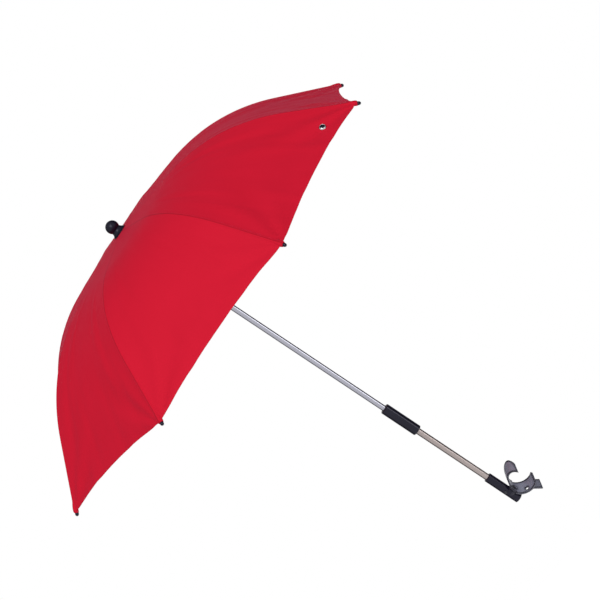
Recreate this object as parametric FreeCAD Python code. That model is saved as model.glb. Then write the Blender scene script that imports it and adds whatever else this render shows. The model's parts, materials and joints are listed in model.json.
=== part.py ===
import FreeCAD, Part
import os
from math import asin, atan2, cos, degrees, radians, sin, tan

V = FreeCAD.Vector
X_AXIS = V(1, 0, 0)
Y_AXIS = V(0, 1, 0)
Z_AXIS = V(0, 0, 1)

# Pram parasol, in millimetres and degrees.
# The origin is the centre of the clip's bore, +Z runs up the shaft and +X is the clip's open side.

# Canopy and ribs
canopy_diameter = 700.0
rib_count = 8
canopy_top = 630.0
cloth_thickness = 0.6
crown_slope = 3.0
bend_start = 105.0
bend_radius = 270.0
edge_slope = 43.0
hem_scallop = 6.0
panel_start = 10.6
stud_from_hem = 21.3
stud_offset = 41.0
stud_diameter = 10.0
stud_rim = 0.8
stud_height = 1.7

# Rib and stretcher sections
rib_width = 3.6
rib_height = 3.8
sheet_wall = 0.6
tip_length = 6.0
tip_diameter = 5.0
tip_plug = 8.0
rib_pivot_radius = 9.0
rib_pivot_depth = 4.6
rib_root_width = 2.4
channel_start = 18.5
joint_station = 165.0
rivet_diameter = 1.2
stretcher_tongue = 1.8
runner_depth = 118.0
stretcher_foot = 2.0
closed_tip_radius = 24.0
wire_diameter = 1.4
crown_diameter = 24.0
crown_depth = 11.0
runner_head = 24.0
runner_barrel = 13.2
runner_length = 34.0
runner_rise = 4.0
catch_thickness = 1.0
catch_length = 24.0

# Shaft
upper_tube_diameter = 8.0
lower_tube_diameter = 9.0
tube_wall = 0.6
cap_ball = 18.4
cap_ball_height = 12.0
cap_skirt = 22.4
cap_rim = 1.1
cap_bore = 8.0
cap_seat = 0.1
sleeve_diameter = 15.0
sleeve_length = 54.5
lower_tube_shown = 114.0
pivot_below_sleeve_top = 12.5
pivot_pin = 3.0
tongue_width = 3.2
hinge_round = 8.0
fork_round = 8.8
fork_depth = 12.0
plug_length = 20.0
sleeve_travel = 72.0
edge_break = 0.8

# Socket and clip
socket_diameter = 13.0
socket_length = 53.0
socket_below_bore = 15.0
tube_foot = 3.0
rivet_height = 6.5
socket_rivet = 2.4
socket_rivet_head = 4.6
clip_bore = 31.0
clip_wall = 2.4
clip_width = 21.0
clip_mouth = 104.0
clip_turn = 27.0
clip_pad = 0.9
arm_round = 4.0
spare_hole = 4.4
pad_diameter = 14.0
foot_height = 0.3
tab_length = 16.0
tab_width = 16.0
tab_turn = -100.0
tab_lean = 22.0
spare_turn = -118.0
screw_diameter = 3.6
screw_head = 7.0
sink_depth = 2.1
screw_grip = 4.5

# Clearances
slide_gap = 0.3
hem_gap = 0.3
fit_gap = 0.05
pin_gap = 0.05
turn_gap = 0.2
cloth_gap = 0.2
seam_gap = 0.15

# Heights and offsets that follow
step = 360.0 / rib_count
half_step = radians(step / 2)
shaft_x = -(clip_bore / 2 + clip_wall + clip_pad + turn_gap + foot_height + socket_diameter / 2)
socket_top = socket_length - socket_below_bore
sleeve_bottom = socket_top + lower_tube_shown
sleeve_top = sleeve_bottom + sleeve_length
pivot_z = sleeve_top - pivot_below_sleeve_top
tip_radius = canopy_diameter / 2
rib_top = cloth_thickness + cloth_gap + rib_width / 2 * tan(half_step) * sin(radians(edge_slope))
rib_mid = rib_top + rib_height / 2
upper_bore = upper_tube_diameter / 2 - tube_wall
lower_bore = lower_tube_diameter / 2 - tube_wall


# Small helpers
def rod(diameter, length, start, direction):
    return Part.makeCylinder(diameter / 2, length, start, direction)


def ring(outer, inner, z0, z1):
    body = rod(outer, z1 - z0, V(0, 0, z0), Z_AXIS)
    return body.cut(rod(inner, z1 - z0 + 2, V(0, 0, z0 - 1), Z_AXIS))


def block(x0, x1, y0, y1, z0, z1):
    return Part.makeBox(x1 - x0, y1 - y0, z1 - z0, V(x0, y0, z0))


def turned(points):
    wire = Part.makePolygon([V(r, 0, z) for r, z in points + points[:1]])
    return Part.Face(wire).revolve(V(0, 0, 0), Z_AXIS, 360)


def plate(points, width):
    wire = Part.makePolygon([V(x, -width / 2, z) for x, z in points + points[:1]])
    return Part.Face(wire).extrude(V(0, width, 0))


def fused(first, *others):
    return first.fuse(list(others)).removeSplitter()


# The line of the open canopy over a rib: a straight start, one bend and a straight edge
def line_point(station, depth):
    start = radians(crown_slope)
    edge = radians(edge_slope)
    bend_end = bend_start + bend_radius * (sin(edge) - sin(start))
    z = -(min(station, bend_start) - rib_pivot_radius) * tan(start)
    slope = start
    if station > bend_start:
        slope = asin(min(sin(start) + (station - bend_start) / bend_radius, sin(edge)))
        z -= bend_radius * (cos(start) - cos(slope))
    if station > bend_end:
        z -= (station - bend_end) * tan(edge)
    return V(station - depth * sin(slope), 0, canopy_top + z - depth * cos(slope)), slope


def bend_stations():
    first = bend_start
    last = bend_start + bend_radius * (sin(radians(edge_slope)) - sin(radians(crown_slope)))
    return first, (first + last) / 2, last


# A band under that line between two depths, as a face in the rib's plane
def band(depth_a, depth_b, station_a, station_b):
    edges = []
    ends = []
    for depth in (depth_a, depth_b):
        first, middle, last = [line_point(s, depth)[0] for s in bend_stations()]
        inner = line_point(station_a, depth)[0]
        outer = line_point(station_b, depth)[0]
        edges.append(Part.makeLine(inner, first))
        edges.append(Part.Arc(first, middle, last).toShape())
        edges.append(Part.makeLine(last, outer))
        ends.append((inner, outer))
    edges.append(Part.makeLine(ends[0][0], ends[1][0]))
    edges.append(Part.makeLine(ends[0][1], ends[1][1]))
    return Part.Face(Part.Wire(Part.__sortEdges__(edges)))


def rail(depth_a, depth_b, station_a, station_b, width):
    face = band(depth_a, depth_b, station_a, station_b)
    face.translate(V(0, -width / 2, 0))
    return face.extrude(V(0, width, 0))


# Linkage points in the plane of a rib
rib_pivot = V(rib_pivot_radius, 0, canopy_top - rib_pivot_depth)
rib_joint = line_point(joint_station, rib_top + rib_height * 0.58)[0]
runner_pivot = V(rib_pivot_radius, 0, canopy_top - runner_depth)
stretcher_length = (rib_joint - runner_pivot).Length
rib_end = tip_radius - tip_length * cos(radians(edge_slope))
cloth_end = rib_end - hem_gap
stud_station = cloth_end - stud_from_hem
joint_to_pivot = runner_pivot - rib_joint


# Rib: a sheet steel channel with a flat root that hinges on the crown wire
def make_rib():
    body = rail(rib_top, rib_top + rib_height, channel_start, rib_end, rib_width)
    groove = rail(rib_top + sheet_wall, rib_top + rib_height + 1, channel_start + 9.5, rib_end + 5,
                  rib_width - 2 * sheet_wall)
    body = body.cut(groove)
    z = canopy_top
    pivot_z_rib = rib_pivot.z
    root = plate(
        [
            (rib_pivot.x, pivot_z_rib + 1.6),
            (12.6, z - 2.8),
            (channel_start - 1.5, z - rib_top - 0.8),
            (channel_start + 8, z - rib_top - 1.4),
            (channel_start + 8, z - rib_top - rib_height - 0.6),
            (channel_start - 1.5, z - rib_top - rib_height - 0.6),
            (rib_pivot.x, pivot_z_rib - 1.6),
        ],
        rib_root_width,
    )
    eye = rod(3.6, rib_root_width, rib_pivot - V(0, rib_root_width / 2, 0), Y_AXIS)
    body = fused(body, root, eye)
    hole = rod(wire_diameter + 2 * pin_gap, 8, rib_pivot - V(0, 4, 0), Y_AXIS)
    joint_hole = rod(rivet_diameter + 2 * pin_gap, 8, rib_joint - V(0, 4, 0), Y_AXIS)
    return body.cut(hole).cut(joint_hole)


# Rib tip: a black plug in the end of the channel with a rounded head
def make_tip():
    centre, slope = line_point(rib_end, rib_mid)
    radius = tip_diameter / 2
    shoulder = tip_length - radius
    nose = [(radius * cos(radians(a)), shoulder + radius * sin(radians(a))) for a in (0, 40, 75)]
    head = turned([(0, fit_gap), (radius, fit_gap)] + nose + [(0, nose[-1][1])])
    head.rotate(V(0, 0, 0), Y_AXIS, 90)
    half = rib_width / 2 - sheet_wall - fit_gap
    plug = block(-tip_plug, shoulder / 2, -half, half, -half, half)
    body = fused(head, plug)
    body.rotate(V(0, 0, 0), Y_AXIS, degrees(slope))
    body.translate(centre)
    return body


# Rivet through rib and stretcher, with a head each side
def make_rivet():
    length = rib_width + 1.0
    pin = rod(rivet_diameter, length, rib_joint - V(0, length / 2, 0), Y_AXIS)
    heads = []
    for side in (-1, 1):
        base = rib_joint + V(0, side * (rib_width / 2 + fit_gap), 0)
        heads.append(rod(rivet_diameter * 2, 0.5, base, Y_AXIS * side))
    return fused(pin, *heads)


# Stretcher: a channel with a flat tongue at the rib and a flat foot at the runner
def make_stretcher():
    half = rib_width / 2
    shank = block(13, stretcher_length - 10, -half, half, -half, half)
    inside = half - sheet_wall
    groove = block(17, stretcher_length - 14, -inside, inside, -inside, half + 1)
    tongue_half = stretcher_tongue / 2
    tongue = block(0, 16, -tongue_half, tongue_half, -1.4, 1.4)
    tongue_end = rod(2.8, stretcher_tongue, V(0, -tongue_half, 0), Y_AXIS)
    foot_half = stretcher_foot / 2
    foot = block(stretcher_length - 13, stretcher_length, -foot_half, foot_half, -1.6, 1.6)
    foot_end = rod(3.2, stretcher_foot, V(stretcher_length, -foot_half, 0), Y_AXIS)
    body = fused(shank.cut(groove), tongue, tongue_end, foot, foot_end)
    body = body.cut(rod(rivet_diameter + 2 * pin_gap, 8, V(0, -4, 0), Y_AXIS))
    body.rotate(V(0, 0, 0), Y_AXIS, degrees(atan2(-joint_to_pivot.z, joint_to_pivot.x)))
    body.translate(rib_joint)
    return body


# Canopy panel: taut cloth over one rib, out to the middle of the gore on each side
def make_panel():
    halves = []
    span = canopy_diameter
    floor = canopy_top - span / 2
    chord = cloth_end * sin(half_step)
    hem_radius = (chord * chord + hem_scallop * hem_scallop) / (2 * hem_scallop)
    centre = cloth_end * cos(half_step) - hem_scallop + hem_radius
    for side in (-1, 1):
        across = V(-sin(half_step), side * cos(half_step), 0)
        sheet = band(0, cloth_thickness, panel_start, cloth_end).extrude(across * cloth_end * tan(half_step))
        inside = seam_gap - span if side > 0 else -seam_gap
        keep = block(0, span, inside, inside + span, floor, floor + span)
        keep.rotate(V(0, 0, 0), Z_AXIS, side * degrees(half_step))
        keep.translate(V(0, -2 * side * seam_gap, 0))
        foot = V(centre * cos(half_step), side * centre * sin(half_step), floor)
        hem = rod(2 * hem_radius, span, foot, Z_AXIS)
        halves.append(sheet.common(keep).cut(hem))
    return fused(*halves)


# Press stud on the cloth beside the first rib
def make_stud():
    point, slope = line_point(stud_station, -cloth_gap)
    across = V(-sin(half_step), -cos(half_step), 0)
    along = V(cos(slope), 0, -sin(slope))
    out = along.cross(across)
    out = out * (1 if out.z > 0 else -1)
    out.normalize()
    base = point + across * stud_offset
    rim = rod(stud_diameter, stud_rim, base, out)
    dome = rod(stud_diameter * 0.62, stud_height, base, out)
    dimple = rod(stud_diameter * 0.3, stud_height, base + out * (stud_height - stud_rim / 2), out)
    return fused(rim, dome).cut(dimple)


# Crown under the cap: slots for the rib roots and a groove for the wire that they hinge on
def make_crown():
    bottom = canopy_top - crown_depth
    crown_roof = canopy_top - cloth_thickness - cloth_gap - 0.35
    body = ring(crown_diameter, upper_tube_diameter + 2 * fit_gap, bottom, crown_roof)
    collar = ring(crown_diameter * 0.58, upper_tube_diameter + 2 * fit_gap, bottom - crown_depth / 2, bottom)
    body = fused(body, collar)
    reach = rib_pivot_radius / cos(half_step) + wire_diameter / 2 + turn_gap
    inner = rib_pivot_radius - wire_diameter / 2 - turn_gap
    body = body.cut(ring(2 * reach, 2 * inner, bottom - 1, rib_pivot.z + wire_diameter / 2 + turn_gap))
    slot_half = rib_root_width / 2 + turn_gap
    for k in range(rib_count):
        slot = block(rib_pivot_radius - 2.1, crown_diameter, -slot_half, slot_half,
                     bottom - crown_depth, canopy_top - rib_pivot_depth / 2)
        slot.rotate(V(0, 0, 0), Z_AXIS, k * step)
        body = body.cut(slot)
    return body


# Octagon of wire: straight under every rib, mitred at the corners
def make_crown_wire():
    reach = 2 * rib_pivot_radius
    corner = V(reach, reach * tan(half_step), rib_pivot.z - wire_diameter)
    middle = V(0, 0, corner.z)
    wedge = Part.Face(Part.makePolygon([middle, corner, corner - V(0, 2 * corner.y, 0), middle]))
    bar = rod(wire_diameter, reach, rib_pivot - V(0, reach / 2, 0), Y_AXIS)
    bar = bar.common(wedge.extrude(V(0, 0, 2 * wire_diameter)))
    pieces = []
    for k in range(rib_count):
        piece = bar.copy()
        piece.rotate(V(0, 0, 0), Z_AXIS, k * step)
        pieces.append(piece)
    return fused(*pieces)


# Cap: a ball on a flared skirt that holds the cloth down on the crown
def make_cap():
    low = canopy_top + cap_seat
    radius = cap_ball / 2
    middle = canopy_top + cap_ball_height
    neck = radians(-36)
    side = radians(20)
    rim = V(cap_skirt / 2, 0, low + cap_rim)
    throat = V(radius * cos(neck), 0, middle + radius * sin(neck))
    dip = (rim + throat) * 0.5 - V(cap_rim / 2, 0, cap_rim / 2)
    cheek = V(radius * cos(side), 0, middle + radius * sin(side))
    top = V(0, 0, middle + radius)
    foot = V(0, 0, low)
    corner = V(cap_skirt / 2, 0, low)
    outline = [
        Part.makeLine(foot, corner),
        Part.makeLine(corner, rim),
        Part.Arc(rim, dip, throat).toShape(),
        Part.Arc(throat, cheek, top).toShape(),
        Part.makeLine(top, foot),
    ]
    body = Part.Face(Part.Wire(outline)).revolve(V(0, 0, 0), Z_AXIS, 360)
    return body.cut(rod(upper_tube_diameter + 2 * fit_gap, cap_bore, foot, Z_AXIS))


# Small round of cloth under the cap
def make_rosette():
    return ring(2 * (panel_start * cos(half_step) - 2 * cloth_gap), upper_tube_diameter + 2 * fit_gap,
                canopy_top - cloth_thickness, canopy_top)


# Runner: slides on the upper tube and carries the stretcher feet in slots
def make_runner():
    top = runner_pivot.z + runner_rise
    low = top - runner_length
    bore = upper_tube_diameter / 2 + slide_gap
    barrel = runner_barrel / 2
    grip = barrel * 1.4
    head = runner_head / 2
    body = turned(
        [
            (bore, low),
            (grip - edge_break, low),
            (grip, low + edge_break),
            (grip, low + 4 * edge_break),
            (barrel, low + 7 * edge_break),
            (barrel, top - 14 * edge_break),
            (head, top - 10 * edge_break),
            (head, top - edge_break),
            (head - edge_break, top),
            (bore, top),
        ]
    )
    slot_half = stretcher_foot / 2 + slide_gap
    slot_floor = low + 7.5 * edge_break
    for k in range(rib_count):
        slot = block(rib_pivot_radius - 2.0, runner_head, -slot_half, slot_half, slot_floor, top + 1)
        slot.rotate(V(0, 0, 0), Z_AXIS, k * step)
        body = body.cut(slot)
    return body


# Catch spring: a thin steel blade in a slot of the tube that holds the runner up
def catch_top():
    return runner_pivot.z + runner_rise - runner_length - slide_gap


def make_catch():
    z = catch_top()
    blade = plate(
        [
            (upper_bore - 1.6, z - catch_length),
            (upper_bore - 0.5, z - catch_length),
            (upper_tube_diameter / 2 + 0.2, z - catch_length * 0.7),
            (runner_barrel / 2 - 0.4, z - 1.5),
            (runner_barrel / 2 - 0.4, z),
            (upper_bore - 0.4, z),
            (upper_bore - 1.6, z + 2.0),
        ],
        catch_thickness,
    )
    blade.rotate(V(0, 0, 0), Z_AXIS, -step / 2)
    return blade


def make_upper_tube():
    low = pivot_z + hinge_round + turn_gap
    body = ring(upper_tube_diameter, 2 * upper_bore, low, canopy_top + cap_bore - 2 * turn_gap)
    z = catch_top()
    half = catch_thickness / 2 + turn_gap
    slot = block(1, upper_tube_diameter, -half, half, z - catch_length + 2, z + 1.5)
    slot.rotate(V(0, 0, 0), Z_AXIS, -step / 2)
    return body.cut(slot)


# Knuckle hinge in the shaft: a fork in the lower tube and a tongue in the upper one
def pivot_hole():
    return rod(pivot_pin + 2 * pin_gap, 2 * fork_round, V(0, -fork_round, pivot_z), Y_AXIS)


def make_tongue():
    half = tongue_width / 2
    shoulder = hinge_round * 0.65
    eye = rod(hinge_round, tongue_width, V(0, -half, pivot_z), Y_AXIS)
    web = block(-hinge_round / 2, hinge_round / 2, -half, half, pivot_z, pivot_z + shoulder)
    collar = rod(upper_tube_diameter, hinge_round - shoulder + turn_gap, V(0, 0, pivot_z + shoulder), Z_AXIS)
    plug = rod(2 * (upper_bore - fit_gap), plug_length, V(0, 0, pivot_z + hinge_round), Z_AXIS)
    return fused(eye, web, collar, plug).cut(pivot_hole())


def make_fork():
    low = pivot_z - fork_depth
    pillar = rod(fork_round, fork_depth, V(0, 0, low), Z_AXIS)
    upright = rod(fork_round, fork_round, V(0, 0, pivot_z - 2), Z_AXIS)
    crest = upright.common(rod(fork_round, 2 * fork_round, V(0, -fork_round, pivot_z), Y_AXIS))
    plug = rod(2 * (lower_bore - fit_gap), plug_length, V(0, 0, low - plug_length + turn_gap), Z_AXIS)
    half = tongue_width / 2 + turn_gap
    floor = pivot_z - hinge_round / 2 - 3 * turn_gap
    slot = block(-fork_round, fork_round, -half, half, floor, pivot_z + fork_round)
    return fused(pillar, crest, plug).cut(slot).cut(pivot_hole())


def make_pivot_pin():
    length = fork_round - edge_break
    return rod(pivot_pin, length, V(0, -length / 2, pivot_z), Y_AXIS)


def make_sleeve():
    bore = lower_tube_diameter / 2 + slide_gap
    r = sleeve_diameter / 2
    return turned(
        [
            (bore, sleeve_bottom),
            (r - edge_break, sleeve_bottom),
            (r, sleeve_bottom + edge_break),
            (r, sleeve_top - edge_break),
            (r - edge_break, sleeve_top),
            (bore + edge_break, sleeve_top),
            (bore, sleeve_top - sleeve_length / 4),
        ]
    )


def socket_rivet_hole():
    reach = socket_diameter
    return rod(socket_rivet + 2 * pin_gap, 2 * reach, V(0, -reach, rivet_height), Y_AXIS)


def make_lower_tube():
    body = ring(lower_tube_diameter, 2 * lower_bore, tube_foot, pivot_z - fork_depth - fit_gap)
    return body.cut(socket_rivet_hole())


# Socket: a moulded sleeve on the foot of the shaft with a flat that carries the clip
def make_socket():
    low = -socket_below_bore
    r = socket_diameter / 2
    body = turned(
        [
            (0, low),
            (r - edge_break, low),
            (r, low + edge_break),
            (r, socket_top - edge_break),
            (r - edge_break, socket_top),
            (0, socket_top),
        ]
    )
    foot = rod(pad_diameter, r + foot_height, V(0, 0, 0), X_AXIS)
    tube_seat = rod(lower_tube_diameter + 2 * fit_gap, socket_length, V(0, 0, tube_foot - fit_gap), Z_AXIS)
    screw_seat = rod(screw_diameter + 2 * fit_gap, socket_diameter, V(r - screw_grip - fit_gap, 0, 0), X_AXIS)
    return fused(body, foot).cut(tube_seat).cut(socket_rivet_hole()).cut(screw_seat)


# Rivet through socket and tube, with a flat chamfered head each side
def make_socket_rivet():
    base = socket_diameter / 2 + fit_gap
    rim = socket_rivet_head / 2
    thick = rim / 4
    end = base + 2 * thick
    body = turned(
        [
            (0, -end),
            (rim - thick, -end),
            (rim, -end + thick),
            (rim, -base),
            (socket_rivet / 2, -base),
            (socket_rivet / 2, base),
            (rim, base),
            (rim, end - thick),
            (rim - thick, end),
            (0, end),
        ]
    )
    body.rotate(V(0, 0, 0), X_AXIS, 90)
    body.translate(V(0, 0, rivet_height))
    return body


# Outline of the clip's hook seen from above: a leaf on a narrow neck, set to one side, with a pointed tip
def hook_plan(outer):
    near = [(-1.03, -0.5), (-0.84, -0.1), (-0.67, 0.24), (-0.24, 0.34), (0.21, 0.22), (0.56, -0.07)]
    far = [(0.56, -0.07), (0.58, 0.3), (0.5, 0.9), (0.2, 1.27), (-0.27, 1.2), (-0.68, 0.83), (-1.03, 0.5)]
    edges = []
    for side in (near, far):
        curve = Part.BSplineCurve()
        curve.interpolate([V(x * outer, y * clip_width, 0) for x, y in side])
        edges.append(curve.toShape())
    edges.append(Part.makeLine(edges[1].lastVertex().Point, edges[0].firstVertex().Point))
    return Part.Face(Part.Wire(edges)).extrude(V(0, 0, 2 * outer))


# Clip: a springy open ring with a leaf-shaped hook, a narrower arm set beside it and a finger tab
def make_clip():
    inner = clip_bore / 2
    outer = inner + clip_wall
    half = clip_width / 2
    reach = 2 * clip_bore
    shell = rod(2 * outer, 2 * clip_width, V(0, -half, 0), Y_AXIS)
    pad = rod(pad_diameter, pad_diameter / 2, V(-outer - clip_pad, 0, 0), X_AXIS)
    lean = V(sin(radians(tab_lean)), 0, -cos(radians(tab_lean)))
    side = V(lean.z, 0, -lean.x) * (clip_wall / 2)
    root = V(cos(radians(tab_turn)), 0, sin(radians(tab_turn))) * (inner + clip_wall / 2)
    end = root + lean * tab_length
    tab = plate([(p.x, p.z) for p in (root + side, end + side, end - side, root - side)], tab_width)
    tip = rod(clip_wall, tab_width, end - V(0, tab_width / 2, 0), Y_AXIS)
    bore = rod(clip_bore, 4 * clip_width, V(0, -2 * clip_width, 0), Y_AXIS)
    body = fused(shell, pad).cut(bore)
    a = radians(clip_mouth / 2)
    mouth = [(0, 0), (reach * cos(a), reach * sin(a)), (reach * 1.5, 0), (reach * cos(a), -reach * sin(a))]
    body = body.cut(plate(mouth, 4 * clip_width))
    arm = block(-reach, outer * cos(a), -half, half, -reach, 0)
    corners = [edge for edge in arm.Edges if edge.BoundBox.XMin > 0 and edge.BoundBox.ZLength > outer]
    arm = arm.makeFillet(arm_round, corners)
    base = rod(pad_diameter, reach, V(-reach, 0, 0), X_AXIS)
    body = fused(body.common(fused(hook_plan(outer), arm, base)), tab.cut(bore), tip)
    hole = rod(screw_diameter + 2 * turn_gap, outer, V(-outer - inner, 0, 0), X_AXIS)
    head_depth = (screw_head - screw_diameter) / 2 + 1
    sink = Part.makeCone(screw_diameter / 2 + turn_gap, screw_head / 2 + turn_gap + 1, head_depth,
                         V(-inner - sink_depth, 0, 0), X_AXIS)
    outward = V(cos(radians(spare_turn)), 0, sin(radians(spare_turn)))
    spare = rod(spare_hole, reach, V(0, -spare_hole, 0), outward)
    body = body.cut(hole).cut(sink).cut(spare)
    body.rotate(V(0, 0, 0), X_AXIS, clip_turn)
    return body


# Countersunk screw that the clip turns on
def make_screw():
    seat = -clip_bore / 2 - sink_depth
    start = shaft_x + socket_diameter / 2 - screw_grip
    shank = rod(screw_diameter, seat - start, V(start, 0, 0), X_AXIS)
    head_depth = (screw_head - screw_diameter) / 2
    head = Part.makeCone(screw_diameter / 2, screw_head / 2, head_depth, V(seat, 0, 0), X_AXIS)
    slot = head_depth / 2
    groove = block(seat + slot, seat + head_depth + 1, -slot / 2, slot / 2, -screw_head, screw_head)
    return fused(shank, head).cut(groove)


# Every piece, in the row's frame
def to_shaft(shape, turn=0.0):
    placed = shape.copy()
    placed.rotate(V(0, 0, 0), Z_AXIS, turn)
    placed.translate(V(shaft_x, 0, 0))
    return placed


parts = {
    "clamp_clip": make_clip(),
    "swivel_screw": make_screw(),
    "clamp_socket": to_shaft(make_socket()),
    "socket_rivet": to_shaft(make_socket_rivet()),
    "lower_tube": to_shaft(make_lower_tube()),
    "hinge_fork": to_shaft(make_fork()),
    "hinge_pin": to_shaft(make_pivot_pin()),
    "joint_sleeve": to_shaft(make_sleeve()),
    "hinge_tongue": to_shaft(make_tongue()),
    "upper_tube": to_shaft(make_upper_tube()),
    "catch_spring": to_shaft(make_catch()),
    "runner": to_shaft(make_runner()),
    "crown": to_shaft(make_crown()),
    "crown_wire": to_shaft(make_crown_wire()),
    "canopy_rosette": to_shaft(make_rosette()),
    "top_cap": to_shaft(make_cap()),
    "press_stud": to_shaft(make_stud()),
}

rib = make_rib()
tip = make_tip()
rivet = make_rivet()
stretcher = make_stretcher()
panel = make_panel()
for k in range(rib_count):
    number = k + 1
    turn = k * step
    parts["rib_%d" % number] = to_shaft(rib, turn)
    parts["rib_tip_%d" % number] = to_shaft(tip, turn)
    parts["rib_rivet_%d" % number] = to_shaft(rivet, turn)
    parts["stretcher_%d" % number] = to_shaft(stretcher, turn)
    parts["canopy_panel_%d" % number] = to_shaft(panel, turn)

os.makedirs("parts", exist_ok=True)
for name, shape in parts.items():
    solids = shape.Solids
    body = solids[0] if len(solids) == 1 else Part.makeCompound(solids)
    body.exportStep("parts/%s.step" % name)
    print(name, len(solids), round(shape.Volume, 1))
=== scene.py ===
# %% [markdown]
# # A red pram parasol
# The parasol is an eight-ribbed canopy on a slim steel shaft. The shaft tilts at a knuckle under a black
# sleeve, and a springy clip at its foot holds it on the tube of a pram.
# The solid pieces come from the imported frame, at their real size and place. This file adds what solids do
# badly: the stretched cloth with its hem and seams, and the finish of every surface. Lengths are in
# metres, apart from the lens, the cloth's maps and two small sections, which are easier to read in
# millimetres.

# %% Load the frame
import json
from math import asin, atan2, cos, exp, hypot, log, pi, radians, sin, tan

import bpy
from mathutils import Matrix, Vector


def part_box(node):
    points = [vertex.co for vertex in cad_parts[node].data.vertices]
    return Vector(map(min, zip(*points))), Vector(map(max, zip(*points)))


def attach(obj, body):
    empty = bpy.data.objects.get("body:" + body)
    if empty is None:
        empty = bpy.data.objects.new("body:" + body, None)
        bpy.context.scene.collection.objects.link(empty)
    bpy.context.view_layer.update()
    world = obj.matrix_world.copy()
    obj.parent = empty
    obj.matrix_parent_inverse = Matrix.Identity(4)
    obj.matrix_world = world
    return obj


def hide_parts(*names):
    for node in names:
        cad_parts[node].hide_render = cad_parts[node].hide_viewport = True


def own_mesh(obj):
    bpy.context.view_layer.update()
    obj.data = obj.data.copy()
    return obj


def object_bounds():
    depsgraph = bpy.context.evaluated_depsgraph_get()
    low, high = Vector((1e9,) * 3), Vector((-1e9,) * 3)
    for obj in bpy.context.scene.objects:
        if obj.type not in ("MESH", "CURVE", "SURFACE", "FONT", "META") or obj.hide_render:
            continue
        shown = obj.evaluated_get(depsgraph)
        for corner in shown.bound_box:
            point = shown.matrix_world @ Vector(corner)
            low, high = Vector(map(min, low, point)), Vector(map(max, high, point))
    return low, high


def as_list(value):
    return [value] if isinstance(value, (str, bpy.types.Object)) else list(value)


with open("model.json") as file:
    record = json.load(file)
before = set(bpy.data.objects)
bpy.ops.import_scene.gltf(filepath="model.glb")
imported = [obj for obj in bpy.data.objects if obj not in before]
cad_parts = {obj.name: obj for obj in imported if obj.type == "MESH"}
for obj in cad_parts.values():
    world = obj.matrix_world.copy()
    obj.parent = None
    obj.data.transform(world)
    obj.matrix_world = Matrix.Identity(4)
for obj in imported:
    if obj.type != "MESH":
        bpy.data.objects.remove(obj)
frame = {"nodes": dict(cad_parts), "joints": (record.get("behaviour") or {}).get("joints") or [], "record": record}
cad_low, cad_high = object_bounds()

MM_PER_M = 1000
joints = {joint["name"]: joint for joint in frame["joints"]}
SHAFT_X = joints["shaft_tilt"]["pos_m"][0]

# %% [markdown]
# ## Camera
# The picture was taken from far off with a long lens, from a little above the parasol, which leans in the
# frame. A camera can be aimed with a tracking constraint, but that can't give the lean. So its three axes
# are written down: right, up and back. Its place is counted from the shaft's axis.

# %% Camera
CAMERA_PLACE = Vector((SHAFT_X + 1.87875, -3.45079, 0.95001))
CAMERA_RIGHT = Vector((0.54780, 0.15351, -0.82240))
CAMERA_UP = Vector((0.69848, 0.45707, 0.55060))
CAMERA_BACK = Vector((0.46047, -0.87611, 0.14320))
LENS_MM = 180
SENSOR_MM = 36

lens = bpy.data.cameras.new("studio_camera")
lens.lens = LENS_MM
lens.sensor_width = SENSOR_MM
camera = bpy.data.objects.new("studio_camera", lens)
axes = Matrix((CAMERA_RIGHT, CAMERA_UP, CAMERA_BACK)).transposed()
camera.matrix_world = Matrix.Translation(CAMERA_PLACE) @ axes.to_4x4()
bpy.context.scene.collection.objects.link(camera)
bpy.context.scene.camera = camera
print("camera: lens", LENS_MM, "mm, back along", tuple(round(part, 2) for part in CAMERA_BACK))

# %% [markdown]
# ## Small helpers for finishes
# Each finish is a node tree round one Principled shader. Writing nodes by hand takes many lines, so small
# helpers do it: they start a finish, add a node with its settings, and join sockets. A number or colour
# that is no socket becomes the socket's own constant. The room's light is a node tree too, so the holder
# of the nodes can be a material or the world.

# %% Finish helpers
MIX_COLOUR_A = 6
MIX_COLOUR_B = 7
MIX_COLOUR_OUT = 2


def start_finish(name, **settings):
    finish = bpy.data.materials.new(name)
    finish.use_nodes = True
    shader = finish.node_tree.nodes["Principled BSDF"]
    for socket, value in settings.items():
        shader.inputs[socket.replace("_", " ")].default_value = value
    return finish, shader


def join(holder, value, socket):
    if isinstance(value, bpy.types.NodeSocket):
        holder.node_tree.links.new(value, socket)
    else:
        socket.default_value = value


def add_node(holder, kind, inputs=None, **settings):
    node = holder.node_tree.nodes.new(kind)
    for name, value in settings.items():
        setattr(node, name, value)
    for socket, value in (inputs or {}).items():
        join(holder, value, node.inputs[socket])
    return node


def maths(holder, operation, first, second=0.0, third=0.0):
    node = add_node(holder, "ShaderNodeMath", {0: first, 1: second, 2: third}, operation=operation)
    return node.outputs[0]


def noise(holder, vector, scale, detail=2.0):
    inputs = {"Vector": vector, "Scale": scale, "Detail": detail}
    return add_node(holder, "ShaderNodeTexNoise", inputs).outputs["Fac"]


def blend_colours(holder, share, first, second):
    inputs = {0: share, MIX_COLOUR_A: first, MIX_COLOUR_B: second}
    return add_node(holder, "ShaderNodeMix", inputs, data_type="RGBA").outputs[MIX_COLOUR_OUT]


def bump(holder, shader, height, strength, distance):
    inputs = {"Height": height, "Strength": strength, "Distance": distance}
    node = add_node(holder, "ShaderNodeBump", inputs)
    join(holder, node.outputs["Normal"], shader.inputs["Normal"])
    return node


print("helpers ready")
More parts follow.
